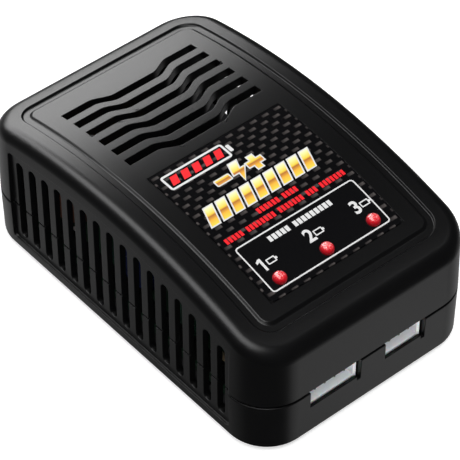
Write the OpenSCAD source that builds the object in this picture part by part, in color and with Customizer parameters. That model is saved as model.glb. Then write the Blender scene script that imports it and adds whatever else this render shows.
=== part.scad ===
// Balance battery charger for small multi-cell packs.
// Two-part plastic case with an arched, vented top; mains inlet at the rear,
// two balance sockets and three charge lamps at the front.
// Millimetres. +Z up, sockets face -Y, origin on the table under the case.

/* [Case] */
// Width of the case at the parting line
case_w = 56; // [55.5:0.5:60]
// Length of the case, from the socket end to the mains end
case_l = 87.5; // [87:0.5:92]
// Height of the case at the crown of the top, without the feet
case_h = 33.5; // [33:0.5:36]
// Radius of the four upright corners
corner_r = 9.4; // [8.6:0.2:10]
// Height of the joint between base and cover
parting_z = 11.74; // [11.6:0.02:12]
// Thickness of the outer walls
wall = 2; // [1.8:0.1:2.2]
// Draft angle of both shells, in degrees
draft = 1; // [0.5:0.1:1.4]

/* [Arched top] */
// Radius of the arch along the length
crown_r = 136; // [130:2:160]
// How far behind the middle the arch peaks
crown_y = 4.46; // [3:0.5:6]
// Radius of the rounded top edge
fillet_r = 2.8; // [2:0.2:3.2]
// Distance from the outline to the outer edge of the trim groove
groove_in = 5.2; // [4.8:0.1:5.4]
// Width of the trim groove
groove_w = 2.5; // [2:0.1:2.6]
// Depth of the trim groove
groove_deep = 0.5; // [0.3:0.1:1]

/* [Vents] */
// Number of wavy vents behind the label
wave_count = 6; // [3:1:6]
// Distance between the wavy vents
wave_pitch = 4.01; // [3.8:0.01:4.2]
// Thickness of a wavy vent
wave_t = 1.95; // [1.4:0.05:2.2]
// How far the middle of a wavy vent drops forward
wave_drop = 2; // [0:0.25:2.5]
// Number of upright slots along each side
slot_count = 16; // [8:1:16]
// Distance between the upright slots
slot_pitch = 4.138; // [3.8:0.001:4.2]
// Width of an upright slot
slot_w = 2.2; // [1.4:0.1:2.4]
// Depth of the sunken panel around the side slots
panel_deep = 0.8; // [0.4:0.1:0.9]

/* [Sockets and lamps] */
// Contacts in the larger balance socket
cells_a = 4; // [3:1:4]
// Contacts in the smaller balance socket
cells_b = 3; // [2:1:3]
// Contact pitch of the balance sockets
pin_pitch = 2.5; // [2.5]
// Distance between the charge lamps
lamp_pitch = 11.85; // [11:0.05:12.5]
// Diameter of a charge lamp
lamp_d = 3; // [2.6:0.1:3.2]

/* [Mains inlet] */
// Diameter of a mains pin
mains_pin_d = 2.4; // [2.4]
// Distance between the mains pins
mains_pitch = 8.6; // [8.6]
// Depth of the figure-eight recess
mains_deep = 10; // [9:0.5:11]

/* [Feet] */
// Diameter of a rubber foot
foot_d = 8; // [6:0.5:9]
// How far the feet stand below the case
foot_proud = 0.7; // [0.5:0.1:1.2]

/* [Hidden] */
$fn = 40;
hw = case_w / 2;
hl = case_l / 2;
cx = hw - corner_r;
cy = hl - corner_r;
seam = 0.45;
rim_z = parting_z - seam;
tongue_in = 1.1;
floor_t = 2;
roof_t = 2.2;
lip_top = 14.5;
lip_in = wall + 0.15;
lip_out = wall + 1.2;
board_z = 4.6;
board_t = 1.6;
top_z = board_z + board_t;
boss = [hw - 7.7, hl - 7.75];
boss_r = 3.2;
post_r = 3.5;
post_top = 12;
stand = [21.3, 22];
stand_r = 2.6;
foot_at = [20, 27];
// Label on the arch, in a shallow bed
label_w = 33.3;
label_y0 = -33.3;
label_y1 = 3.3;
label_t = 0.2;
label_sunk = 0.15;
label_gap = 0.1;
// Wavy vents: half length, place of the rearmost, and the bend in each
wave_half = 16.7;
wave_y = 30.4;
bend_x = 10.1;
bend_run = 5.1;
wave_steps = 22;
// Side slots and their sunken panels
slot_bottom = 3.4;
slot_drop = 7.06;
panel_drop = 5;
panel_y = 34;
panel_z0 = 2.1;
panel_r = 0.9;
// Charge lamps
lamp_y = -30;
lamp_base = crown(lamp_y) - 3.9;
flange_r = lamp_d / 2 + 0.4;
lead_x = 0.95;
// Balance sockets and the openings for them in the front wall
face_y = -hl + 1.2;
sock_h = 5.75;
sock_len = 9;
sock_a = -9.3;
sock_b = 8.65;
mouths = [[-15.65, -2.8], [3.55, 13.95]];
mouth_z0 = top_z - 0.02;
sill_z = 7.1;
sill_t = 0.9;
// Mains inlet
inlet_w = 20;
inlet_h = 11.5;
inlet_l = 17.3;
inlet_y = hl - 0.45;
inlet_gap = 0.2;
mains_z = top_z + inlet_h / 2;
// Gap between faces that rest on each other
e = 0.02;

// ---------- outline and arch ----------

// Height of the arched top at a distance y along the case
function crown(y) = case_h - (y - crown_y) * (y - crown_y) / (2 * crown_r);

// A corner point of the outline moved inwards by d
function corner(s, a, d) =
  [cx + (corner_r - d) * cos(a), s * cy + (corner_r - d) * sin(a)];

// Right half of the outline, front to rear: nc steps a corner, ns a side
function half_ring(d, nc, ns) = concat(
  [for (i = [0:nc]) corner(-1, -90 + 90 * i / nc, d)],
  [for (i = [1:ns - 1]) [hw - d, -cy + 2 * cy * i / ns]],
  [for (i = [0:nc]) corner(1, 90 * i / nc, d)]);

// The same points on the left half, in reverse order
function mirrored(p) = [for (i = [len(p) - 1:-1:0])
  [for (k = [0:len(p[i]) - 1]) k == 0 ? -p[i][0] : p[i][k]]];

// Whole outline, anticlockwise from the front
function ring(d, nc = 6, ns = 1) =
  let (h = half_ring(d, nc, ns)) concat(h, mirrored(h));

// A level of a shell is [inset, height, follows the arch, share of draft]
function level_half(l, nc, ns) = [for (p = half_ring(l[0], nc, ns))
  let (z = l[1] + (l[2] ? crown(p[1]) : 0),
       k = l[0] + l[3] * tan(draft) * abs(z - parting_z),
       r = max(corner_r - k, 0.05),
       at = [max(abs(p[0]) - cx, 0), max(abs(p[1]) - cy, 0)],
       s = r / max(corner_r - l[0], 0.05))
  [p[1] > -cy && p[1] < cy ? hw - k : cx + at[0] * s,
   p[1] > -cy && p[1] < cy ? p[1] : sign(p[1]) * (cy + at[1] * s), z]];

function level(l, nc, ns) =
  let (h = level_half(l, nc, ns)) concat(h, mirrored(h));

// Solid through a stack of levels, lowest first; both ends closed in strips
module shell(levels, nc = 6, ns = 12) {
  n = 2 * (nc + 1) + ns - 1;
  m = 2 * n;
  top = (len(levels) - 1) * m;
  pts = [for (l = levels) for (p = level(l, nc, ns)) p];
  sides = [for (k = [0:len(levels) - 2]) for (i = [0:m - 1]) for (t = [0, 1])
    let (a = k * m + i, b = k * m + (i + 1) % m)
    t == 0 ? [a, a + m, b + m] : [a, b + m, b]];
  bottom = [for (i = [0:n - 2]) for (t = [0, 1])
    t == 0 ? [i, i + 1, m - 2 - i] : [i, m - 2 - i, m - 1 - i]];
  cap = [for (i = [0:n - 2]) for (t = [0, 1])
    t == 0 ? [top + i, top + m - 2 - i, top + i + 1]
           : [top + i, top + m - 1 - i, top + m - 2 - i]];
  polyhedron(points = pts, faces = concat(sides, bottom, cap), convexity = 6);
}

// Sheet that follows the arch between y0 and y1, from lo to hi above it
module arched_sheet(w, y0, y1, lo, hi, n = 14) {
  step = (y1 - y0) / n;
  pts = [for (i = [0:n]) for (s = [-1, 1]) for (z = [lo, hi])
    [s * w / 2, y0 + i * step, crown(y0 + i * step) + z]];
  last = 4 * n;
  faces = concat([[0, 2, 3], [0, 3, 1], [last, last + 1, last + 3], [last, last + 3, last + 2]],
    [for (i = [0:n - 1]) for (f = [[0, 1, 5], [0, 5, 4], [2, 6, 7], [2, 7, 3],
      [0, 4, 6], [0, 6, 2], [1, 3, 7], [1, 7, 5]]) [for (v = f) v + 4 * i]]);
  polyhedron(points = pts, faces = [for (f = faces) [f[2], f[1], f[0]]], convexity = 4);
}

// ---------- openings shared by the two shells ----------

// Centre line of a wavy vent
function smooth(t) = let (c = min(max(t, 0), 1)) c * c * (3 - 2 * c);
function wave(x) = -wave_drop * smooth((bend_x - abs(x)) / bend_run);

module wave_vents() {
  xs = [for (k = [0:wave_steps]) wave_half * (2 * k / wave_steps - 1)];
  for (i = [0:wave_count - 1])
    translate([0, wave_y - wave_pitch * i, case_h - 12])
      linear_extrude(14)
        polygon(concat([for (x = xs) [-x, wave(x)]], [for (x = xs) [x, wave(x) - wave_t]]));
}

// Upright slots through both side walls
module side_slots() {
  for (i = [0:slot_count - 1]) {
    y = slot_pitch * (i - (slot_count - 1) / 2);
    zt = crown(y) - slot_drop - slot_w / 2;
    zb = slot_bottom + slot_w / 2;
    for (s = [-1, 1]) translate([s * (hw - wall), y, 0]) {
      translate([-3, -slot_w / 2, zb]) cube([6, slot_w, zt - zb]);
      for (z = [zb, zt]) translate([-3, 0, z]) rotate([0, 90, 0]) cylinder(d = slot_w, h = 6);
    }
  }
}

// Points of a small round of the side panels, centred at [y, z], from angle a0 on
function panel_round(y, z, a0) =
  [for (a = [a0:30:a0 + 90]) [y + panel_r * cos(a), z + panel_r * sin(a)]];

// Sunken panel around the side slots: arched top edge, round corners
module side_panels() {
  n = 12;
  y1 = panel_y - panel_r;
  zb = panel_z0 + panel_r;
  shape = concat(
    panel_round(-y1, zb, 180), panel_round(y1, zb, 270),
    panel_round(y1, crown(y1) - panel_drop - panel_r, 0),
    [for (k = [1:n - 1]) let (y = y1 - 2 * y1 * k / n) [y, crown(y) - panel_drop]],
    panel_round(-y1, crown(-y1) - panel_drop - panel_r, 90));
  for (s = [-1, 1])
    translate([s * (hw - panel_deep + 2) - 2, 0, 0])
      rotate([90, 0, 90]) linear_extrude(4) polygon(shape);
}

// Room for the two balance sockets in the front wall, behind a thin sill that stops
// short of the right jamb
module socket_mouths() {
  for (c = mouths) {
    translate([c[0], -hl - 1, sill_z]) cube([c[1] - c[0], 6, 12]);
    translate([c[0], -hl + sill_t, mouth_z0]) cube([c[1] - c[0], 5 - sill_t, 2]);
    translate([c[1] - sill_t, -hl - 1, mouth_z0]) cube([sill_t, 4, 2]);
  }
}

// Room for the mains inlet in the rear wall
module inlet_mouth() {
  translate([-inlet_w / 2 - inlet_gap, hl - 6, mains_z - inlet_h / 2 - inlet_gap])
    cube([inlet_w + 2 * inlet_gap, 8, inlet_h + 2 * inlet_gap]);
}

// Holes for the three lamps, through the cover and the label
module lamp_holes() {
  for (i = [-1:1]) translate([lamp_pitch * i, lamp_y, 20]) cylinder(d = lamp_d + 0.2, h = 14);
}

// The same shape at four places, mirrored about both middle lines
module at_four(p) {
  for (sx = [-1, 1]) for (sy = [-1, 1])
    translate([sx * p[0], sy * p[1], 0]) children();
}

// From heights above the case bottom to heights above the table
module lift() translate([0, 0, foot_proud]) children();

// ---------- case ----------

// Outside of the cover: rim, drafted walls, rounded edge, arch and trim groove
module cover_outside() shell(concat(
  [[tongue_in, rim_z, false, 0], [tongue_in, parting_z, false, 0], [0, parting_z, false, 0]],
  [for (a = [0:18:90]) [fillet_r * (1 - cos(a)), -fillet_r * (1 - sin(a)), true, 1]],
  [[groove_in, 0, true, 0], [groove_in + 0.2 * groove_w, -groove_deep, true, 0],
   [groove_in + 0.64 * groove_w, -groove_deep, true, 0], [groove_in + groove_w, 0, true, 0]]));

// Hollow of the cover
module cover_cavity() shell([[wall, rim_z - 2, false, 0], [wall, parting_z, false, 0],
  [wall, -roof_t - 1.2, true, 1], [wall + 0.4, -roof_t - 0.4, true, 1],
  [wall + 1.2, -roof_t, true, 1]], 4, 12);

// Hollow cover with its four screw posts, before the vents are cut
module cover_shell() difference() {
  cover_outside();
  difference() {
    cover_cavity();
    at_four(boss) translate([0, 0, post_top + 0.1]) cylinder(r = boss_r, h = 30);
  }
  at_four(boss) translate([0, 0, 9]) cylinder(r = 1.3, h = 14);
  for (c = mouths)
    translate([c[0], -hl + 1, rim_z - 1]) cube([c[1] - c[0], 4, top_z + sock_h + 1.2 - rim_z]);
  inlet_mouth();
}

module top_cover() {
  color([0.09, 0.09, 0.1]) lift() difference() {
    difference() {
      cover_shell();
      side_panels();
      arched_sheet(label_w + 2 * label_gap, label_y0 - label_gap, label_y1 + label_gap, -label_sunk, 1);
    }
    lamp_holes();
    wave_vents();
    side_slots();
  }
}

module base() {
  color([0.08, 0.08, 0.09]) lift() difference() {
    union() {
      shell([[0.5, 0, false, 1], [0.15, 0.15, false, 1], [0, 0.5, false, 1], [0, rim_z, false, 0]], 6, 1);
      translate([0, 0, 7]) linear_extrude(lip_top - 7) polygon(ring(lip_in, 4));
    }
    difference() {
      union() {
        translate([0, 0, floor_t]) linear_extrude(7) polygon(ring(wall + 0.3, 4));
        translate([0, 0, 8.9]) linear_extrude(8) polygon(ring(lip_out, 4));
      }
      at_four(boss) cylinder(r = post_r, h = post_top);
      at_four(stand) cylinder(r = stand_r, h = board_z);
    }
    at_four(boss) {
      translate([0, 0, -1]) cylinder(r = 2.9, h = 4.2);
      cylinder(r = 1.65, h = 14);
      translate([0, 0, post_top]) cylinder(r = post_r + 0.3, h = 4);
    }
    at_four(stand) translate([0, 0, 2.4]) cylinder(r = 0.95, h = 4);
    at_four(foot_at) translate([0, 0, -1]) cylinder(d = foot_d + 0.3, h = 1.6);
    translate([-19, -16, -1]) cube([38, 32, 1.2]);
    side_panels();
    side_slots();
    socket_mouths();
    inlet_mouth();
  }
}

module top_label() {
  color([0.05, 0.05, 0.05]) lift() difference() {
    arched_sheet(label_w, label_y0, label_y1, -label_sunk + e, -label_sunk + e + label_t);
    lamp_holes();
  }
}

module rating_label() {
  color([0.75, 0.75, 0.76]) lift() translate([-18.8, -15.8, 0.03]) cube([37.6, 31.6, 0.15]);
}

// Pan-head screw, head down, length of shank l above the head
module pan_screw(r, head_r, head_h, l) {
  difference() {
    rotate_extrude() polygon([[0, 0], [head_r * 0.75, 0], [head_r, head_h * 0.4], [head_r, head_h],
      [r, head_h], [r, head_h + l - r], [r * 0.3, head_h + l], [0, head_h + l]]);
    for (a = [0, 90]) rotate(a)
      translate([-head_r * 0.55, -0.25, -1]) cube([head_r * 1.1, 0.5, 1 + head_h * 0.55]);
  }
}

module case_screws() {
  color([0.25, 0.25, 0.27]) lift() at_four(boss) translate([0, 0, 1.2]) pan_screw(1.25, 2.6, 2, 15);
}

module board_screws() {
  color([0.7, 0.7, 0.72]) lift() at_four(stand)
    translate([0, 0, top_z + 1.6]) rotate([180, 0, 0]) pan_screw(0.9, 2.2, 1.6, 3.6);
}

module rubber_feet() {
  color([0.12, 0.12, 0.12]) at_four(foot_at) rotate_extrude()
    polygon([[0, 0], [foot_d / 2 - 0.4, 0], [foot_d / 2 - 0.1, 0.2], [foot_d / 2, 0.5],
      [foot_d / 2, foot_proud + 0.6], [0, foot_proud + 0.6]]);
}

module insulating_sheet() {
  color([0.22, 0.22, 0.23]) lift() difference() {
    translate([0, 0, floor_t + e]) linear_extrude(0.3) polygon(ring(wall + 1.2, 4));
    at_four(boss) cylinder(r = post_r + 0.5, h = 9);
    at_four(stand) cylinder(r = stand_r + 0.4, h = 9);
  }
}

// ---------- board and sockets ----------

module main_board() {
  color([0.06, 0.2, 0.12]) lift() translate([0, 0, board_z]) difference() {
    linear_extrude(board_t) polygon(ring(wall + 1.5, 4));
    at_four(boss) translate([0, 0, -1]) cylinder(r = post_r + 0.6, h = 4);
    at_four(stand) translate([0, 0, -1]) cylinder(r = 1.1, h = 4);
  }
}

// Balance socket for n contacts, mouth towards -Y, standing on z = 0
module socket_shroud(n) {
  w = pin_pitch * (n - 1) + 4.9;
  difference() {
    translate([-w / 2, 0, 0]) cube([w, sock_len, sock_h]);
    translate([-w / 2 + 0.75, -1, 0.8]) cube([w - 1.5, 7.6, sock_h - 1.6]);
    for (s = [-1, 1]) translate([s * (w / 2 - 2.2) - 0.5, -1, sock_h - 1]) cube([1, 5.6, 2]);
    for (s = [-1, 1]) translate([s * w / 2 - 0.4, 6, 1.6]) cube([0.8, 4, 2.4]);
    for (i = [0:n - 1]) translate([pin_pitch * (i - (n - 1) / 2) - 0.33, 5, 2.52]) cube([0.66, 6, 0.66]);
  }
}

// Contacts of a balance socket, each with a tail down to the board
module socket_pins(n) {
  for (i = [0:n - 1]) translate([pin_pitch * (i - (n - 1) / 2) - 0.32, 0, 0]) {
    translate([0, 1.1, 2.53]) cube([0.64, sock_len - 0.4, 0.64]);
    translate([0.12, 0.6, 2.65]) cube([0.4, 0.5, 0.4]);
    translate([0, sock_len + 0.06, 0]) cube([0.64, 0.64, 3.17]);
  }
}

// A place on the upper face of the board
module on_board(x, y) lift() translate([x, y, top_z]) children();

module socket_3s_shroud() color([0.93, 0.94, 0.95]) on_board(sock_a, face_y) socket_shroud(cells_a);
module socket_3s_pins() color([0.8, 0.78, 0.7]) on_board(sock_a, face_y) socket_pins(cells_a);
module socket_2s_shroud() color([0.93, 0.94, 0.95]) on_board(sock_b, face_y) socket_shroud(cells_b);
module socket_2s_pins() color([0.8, 0.78, 0.7]) on_board(sock_b, face_y) socket_pins(cells_b);

// ---------- mains inlet ----------

module ac_inlet_body() {
  r = 3.95;
  color([0.1, 0.1, 0.11]) on_board(0, inlet_y) difference() {
    translate([-inlet_w / 2, -inlet_l, 0]) cube([inlet_w, inlet_l, inlet_h]);
    translate([0, 1, inlet_h / 2]) rotate([90, 0, 0]) {
      for (s = [-1, 1]) translate([s * 3.15, 0, 0]) cylinder(r = r, h = mains_deep + 1);
      translate([-3.15, -3.1, 0]) cube([6.3, 6.2, mains_deep + 1]);
      for (s = [-1, 1]) translate([s * mains_pitch / 2, 0, 0]) cylinder(d = mains_pin_d - 0.38, h = 30);
    }
    for (s = [-1, 1]) translate([s * 9.2 - 1, -inlet_l - 1, 2]) cube([2, 7, 7.5]);
  }
}

module ac_inlet_pins() {
  color([0.82, 0.8, 0.72]) on_board(0, inlet_y) for (s = [-1, 1]) translate([s * mains_pitch / 2, 0, 0]) {
    translate([0, -1, inlet_h / 2]) rotate([90, 0, 0]) {
      cylinder(d1 = mains_pin_d - 0.8, d2 = mains_pin_d, h = 0.6);
      translate([0, 0, 0.6]) cylinder(d = mains_pin_d, h = mains_deep - 1.6);
      translate([0, 0, 2]) cylinder(d = mains_pin_d - 0.4, h = inlet_l - 0.8);
    }
    translate([-0.6, -inlet_l - 1.9, 0]) cube([1.2, 0.8, inlet_h / 2 + 0.6]);
  }
}

// ---------- charge lamps ----------

module led() {
  r = lamp_d / 2;
  color([0.8, 0.1, 0.12]) translate([0, 0, lamp_base]) rotate_extrude()
    polygon(concat([[0, 0], [flange_r, 0], [flange_r, 1], [r, 1], [r, 3.8]],
      [for (a = [15:15:90]) [r * cos(a), 3.8 + r * sin(a)]]));
}

module led_1() lift() translate([-lamp_pitch, lamp_y, 0]) led();
module led_2() lift() translate([0, lamp_y, 0]) led();
module led_3() lift() translate([lamp_pitch, lamp_y, 0]) led();

module led_leads() {
  color([0.78, 0.78, 0.8]) for (i = [-1:1]) for (s = [-1, 1])
    on_board(lamp_pitch * i + s * lead_x - 0.22, lamp_y - 0.22) cube([0.44, 0.44, lamp_base - top_z]);
}

module led_spacers() {
  color([0.15, 0.15, 0.15]) for (i = [-1:1]) on_board(lamp_pitch * i, lamp_y) difference() {
    cylinder(r = flange_r, h = lamp_base - top_z - 0.05);
    for (s = [-1, 1]) translate([s * lead_x, 0, -1]) cylinder(r = 0.36, h = 30);
  }
}

// ---------- parts on the board ----------

// Round can with a rolled shoulder, used for capacitors
module can(r, h) {
  rotate_extrude() polygon([[0, 0], [r - 0.3, 0], [r, 0.3], [r, 1.2], [r - 0.3, 1.6],
    [r, 2], [r, h - 0.5], [r - 0.5, h], [r - 1, h], [r - 1.1, h - 0.2], [0, h - 0.2]]);
}

module fuse() {
  color([0.35, 0.2, 0.12]) on_board(-16, 27.5) {
    translate([0, 0, 0.8]) cylinder(r = 4.2, h = 7.6);
    for (s = [-1, 1]) translate([s * 2.5 - 0.35, -0.35, 0]) cube([0.7, 0.7, 0.8]);
  }
}

module x_capacitor() {
  color([0.16, 0.16, 0.17]) on_board(14.6, 24.4) {
    translate([-3, -7.5, 0.6]) cube([6, 15, 11.4]);
    for (s = [-1, 1]) translate([-0.35, s * 5 - 0.35, 0]) cube([0.7, 0.7, 0.6]);
  }
}

module y_capacitor() {
  color([0.2, 0.35, 0.65]) on_board(-11.8, 15) {
    translate([0, 1.4, 4.6]) rotate([90, 0, 0]) cylinder(r = 3.8, h = 2.8);
    for (s = [-1, 1]) translate([s * 2.2 - 0.35, -0.35, 0]) cube([0.7, 0.7, 2]);
  }
}

module choke_core() {
  color([0.2, 0.25, 0.22]) on_board(0, 17.5) translate([0, 0, 1.2]) difference() {
    cylinder(r = 6, h = 5);
    translate([0, 0, -1]) cylinder(r = 3.2, h = 7);
  }
}

module choke_windings() {
  spread = 104;
  color([0.72, 0.38, 0.16]) on_board(0, 17.5) for (s = [0, 180]) rotate(s - spread / 2)
    rotate_extrude(angle = spread) difference() {
      translate([2.4, 0.4]) square([4.4, 6.6]);
      translate([3.15, 1.15]) square([2.9, 5.1]);
    }
}

module bridge_rectifier() {
  color([0.12, 0.12, 0.13]) on_board(19.5, 12) {
    translate([-3.1, -4.2, 0.6]) cube([6.2, 8.4, 3]);
    at_four([2.6, 2.5]) translate([-0.3, -0.4, 0]) cube([0.6, 0.8, 0.6]);
  }
}

module bulk_capacitor() color([0.08, 0.1, 0.24]) on_board(-18, 5) can(5, 18);

module transformer_core() {
  color([0.22, 0.22, 0.24]) on_board(1, 1) difference() {
    translate([-9.5, -2.5, 2]) cube([19, 5, 15]);
    for (s = [-1, 1]) translate([s * 4.6 - 2.1, -4, 5.4]) cube([4.2, 8, 8.2]);
  }
}

module transformer_bobbin() {
  color([0.14, 0.14, 0.15]) on_board(1, 1) {
    difference() {
      for (z = [1, 12.4]) translate([-6.55, -7, z]) cube([13.1, 14, z == 1 ? 5.2 : 1]);
      translate([-9.6, -2.6, 1.9]) cube([19.2, 5.2, 3.6]);
      translate([-2.6, -2.6, 1]) cube([5.2, 5.2, 14]);
      for (s = [-1, 1]) translate([s * 8.7 - 2, -2.6, 1]) cube([4, 5.2, 14]);
    }
    for (sx = [-3:2:3]) for (sy = [-1, 1]) translate([sx * 1.6 - 0.3, sy * 6 - 0.3, 0]) cube([0.6, 0.6, 1]);
  }
}

module transformer_winding() {
  color([0.85, 0.72, 0.2]) on_board(1, 1) difference() {
    translate([-6.4, -6.6, 6.25]) cube([12.8, 13.2, 6.1]);
    translate([-2.6, -2.6, 5]) cube([5.2, 5.2, 9]);
  }
}

// Three-lead power package: tab towards +X, legs down, 10 wide
module power_package() {
  difference() {
    union() {
      translate([-3.1, -5, 3]) cube([3.1, 10, 9]);
      translate([0, -5, 3]) cube([1.3, 10, 15]);
    }
    translate([-1, 0, 15]) rotate([0, 90, 0]) cylinder(r = 1.8, h = 4);
  }
  for (i = [-1:1]) translate([-1.5, 2.54 * i - 0.4, 0]) cube([0.6, 0.8, 3]);
}

// Upright cooling plate w wide, with two folded edges and a screw hole
module heat_plate(w) {
  difference() {
    union() {
      translate([0, -w / 2, 0]) cube([1.5, w, 16]);
      translate([-1.5, -w / 2, 0]) cube([1.6, 2, 16]);
      translate([-1.5, w / 2 - 2, 0]) cube([1.6, 2, 16]);
    }
    translate([-4, 0, 15]) rotate([0, 90, 0]) cylinder(r = 1.6, h = 9);
  }
}

module power_switch() color([0.13, 0.13, 0.14]) on_board(20.58, -1) power_package();
module heatsink_primary() color([0.75, 0.76, 0.78]) on_board(21.9, -1) heat_plate(15);
module rectifier_diode() color([0.13, 0.13, 0.14]) on_board(4, -15.07) rotate(90) power_package();
module heatsink_secondary() color([0.75, 0.76, 0.78]) on_board(4, -13.75) rotate(90) heat_plate(15);

module output_capacitors() {
  color([0.06, 0.15, 0.1]) for (p = [[-10, -14], [-19, -12]]) on_board(p[0], p[1]) can(4, 12);
}

module output_choke() {
  color([0.6, 0.33, 0.15]) on_board(17.5, -15) rotate_extrude()
    polygon([[0, 0], [3.5, 0], [3.5, 1.2], [3, 1.4], [3, 7.6], [3.5, 7.8], [3.5, 9], [0, 9]]);
}

// Flat chip body a by b with n legs on each long side
module chip(a, b, h, n, pitch) {
  translate([-a / 2, -b / 2, 0.2]) cube([a, b, h]);
  for (i = [0:n - 1]) for (s = [-1, 1])
    translate([s * (a / 2 + 0.35) - 0.4, pitch * (i - (n - 1) / 2) - 0.2, 0]) cube([0.8, 0.4, 0.9]);
}

module optocoupler() color([0.9, 0.9, 0.88]) on_board(-12, -5.2) chip(4.4, 6, 3.2, 2, 2.54);
module control_chip() color([0.1, 0.1, 0.11]) on_board(14, 5) chip(3.9, 5, 1.5, 4, 1.27);
module microcontroller() color([0.1, 0.1, 0.11]) on_board(0, -23.5) rotate(90) chip(7.4, 12.8, 2.3, 10, 1.27);

module balance_resistors() {
  color([0.7, 0.62, 0.45]) for (x = [-16.5, -13, -9.5, 9.5, 13, 16.5]) on_board(x, -24) {
    translate([0, 3, 1.3]) rotate([90, 0, 0]) cylinder(r = 1.15, h = 6);
    for (s = [-1, 1]) translate([-0.25, s * 3.2 - 0.25, 0]) cube([0.5, 0.5, 1.5]);
  }
}

top_cover();
base();
top_label();
rating_label();
case_screws();
board_screws();
rubber_feet();
insulating_sheet();
main_board();
socket_3s_shroud();
socket_3s_pins();
socket_2s_shroud();
socket_2s_pins();
ac_inlet_body();
ac_inlet_pins();
led_1();
led_2();
led_3();
led_leads();
led_spacers();
fuse();
x_capacitor();
y_capacitor();
choke_core();
choke_windings();
bridge_rectifier();
bulk_capacitor();
transformer_core();
transformer_bobbin();
transformer_winding();
power_switch();
heatsink_primary();
rectifier_diode();
heatsink_secondary();
output_capacitors();
output_choke();
optocoupler();
control_chip();
microcontroller();
balance_resistors();
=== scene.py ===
"""Balance battery charger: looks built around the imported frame.

Shapes are worked out in millimetres with z up from the bottom of the case, then placed on the feet.
"""
import math

import bmesh
import bpy
import numpy as np
from mathutils import Matrix, Vector


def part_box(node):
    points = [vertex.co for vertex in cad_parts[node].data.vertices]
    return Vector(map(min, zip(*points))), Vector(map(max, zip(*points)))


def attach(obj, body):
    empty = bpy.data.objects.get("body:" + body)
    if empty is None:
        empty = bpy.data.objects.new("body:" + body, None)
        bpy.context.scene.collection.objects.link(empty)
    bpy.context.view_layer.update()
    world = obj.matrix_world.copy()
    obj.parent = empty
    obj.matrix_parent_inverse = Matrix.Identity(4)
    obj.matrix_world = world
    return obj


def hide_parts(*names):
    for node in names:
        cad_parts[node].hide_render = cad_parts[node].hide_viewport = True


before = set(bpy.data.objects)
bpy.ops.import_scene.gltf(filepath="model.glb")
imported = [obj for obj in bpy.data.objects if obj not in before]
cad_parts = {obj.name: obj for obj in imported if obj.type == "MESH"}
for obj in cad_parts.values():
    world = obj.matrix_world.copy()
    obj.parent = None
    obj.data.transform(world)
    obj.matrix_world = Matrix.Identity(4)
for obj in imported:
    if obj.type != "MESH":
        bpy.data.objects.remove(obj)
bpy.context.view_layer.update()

MM = 0.001


def box_mm(node):
    """A CAD node's lowest and highest corners, in millimetres above the table."""
    lo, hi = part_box(node)
    return [c / MM for c in lo], [c / MM for c in hi]


# ---------- driving sizes, from the frame where it has them ----------

base_lo, base_hi = box_mm("base")
LIFT = base_lo[2]
HALF_W = (base_hi[0] - base_lo[0]) / 2
HALF_L = (base_hi[1] - base_lo[1]) / 2
CASE_H = 33.5
CORNER_R = 9.4
CORNER_X = HALF_W - CORNER_R
CORNER_Y = HALF_L - CORNER_R
CROWN_Y, CROWN_R = 4.46, 136.0
FILLET_R = 2.8
EDGE_R = 0.13
DRAFT = math.tan(math.radians(1))
WALL, FLOOR, ROOF = 2.0, 2, 2.2

# Joint between the shells, with a lip on the base and a tongue on the cover
PARTING_Z = 11.74
RIM_Z = PARTING_Z - 0.45
LIP_TOP = base_hi[2] - LIFT
LIP_IN, LIP_OUT = WALL + 0.15, WALL + 1.2
TONGUE_IN = 1.1

# Trim groove round the top: place, width, depth and the widths of its two rolls
GROOVE_IN, GROOVE_W, GROOVE_DEEP = 5.2, 2.5, 0.5
GROOVE_OUTER, GROOVE_INNER = 0.5, 0.9

# Screw posts, board supports and feet, each at four places
BOSS = (HALF_W - 7.7, HALF_L - 7.75)
BOSS_R, POST_R, POST_TOP = 3.2, 3.5, 12
PILOT_R, SHANK_HOLE_R = 1.3, 1.65
PILOT_Z, STAND_HOLE_Z = (9, 23), (2.4, 6.4)
HEAD_HOLE_R, HEAD_HOLE_TOP = 2.9, 3.2
STAND = (21.3, 22.0)
STAND_R, STAND_HOLE_R, BOARD_Z = 2.6, 0.95, 4.6
FOOT = (20, 27)
FOOT_HOLE_R, FOOT_HOLE_TOP = 4.15, 0.6

# Wavy vents
WAVE_COUNT, WAVE_PITCH, WAVE_Y = 6, 4.01, 30.4
WAVE_HALF, WAVE_T, WAVE_DROP = 16.7, 1.95, 2.0
BEND_X, BEND_RUN = 10.1, 5.1

# Side slots and the sunken panel around them
SLOT_COUNT, SLOT_PITCH, SLOT_R = 16, 4.138, 1.1
SLOT_LOW, SLOT_DROP = 3.4, 7.06
PANEL_END, PANEL_LOW, PANEL_R = 33.1, 3.0, 0.9
PANEL_DROP, PANEL_OUT = 5, 1.2

# Top label and its bed, the bed of the rating label, and the lamps
LABEL_W, LABEL_Y0, LABEL_Y1 = 33.3, -33.3, 3.3
LABEL_Z, LABEL_T, LABEL_GAP, LABEL_CORNER = 0.07, 0.2, 0.1, 1.2
BED_DEEP = 0.15
RATING_X, RATING_Y, RATING_DEEP = 19, 16, 0.2
LAMP_PITCH, LAMP_Y = 11.85, -30.0
LAMP_R, LAMP_HOLE_R = 1.5, 1.6
THROUGH_ROOF = (20, 34)

# Openings for the balance sockets, with a thin sill, and the sockets' own walls
SOCKET_MOUTHS = ((-15.65, -2.8), (3.55, 13.95))
MOUTH_Z, MOUTH_TOP, SILL_Z, SILL_T = 6.18, 12.15, 7.1, 0.9
SHROUD_SIDE, SHROUD_SKIN, SHROUD_DEEP = 0.75, 0.8, 6.6
PIN_PITCH, PIN_HOLE, PIN_HOLE_Z0, PIN_HOLE_Z1 = 2.5, 0.33, 2.52, 3.18
INLET_GAP = 0.2


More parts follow.
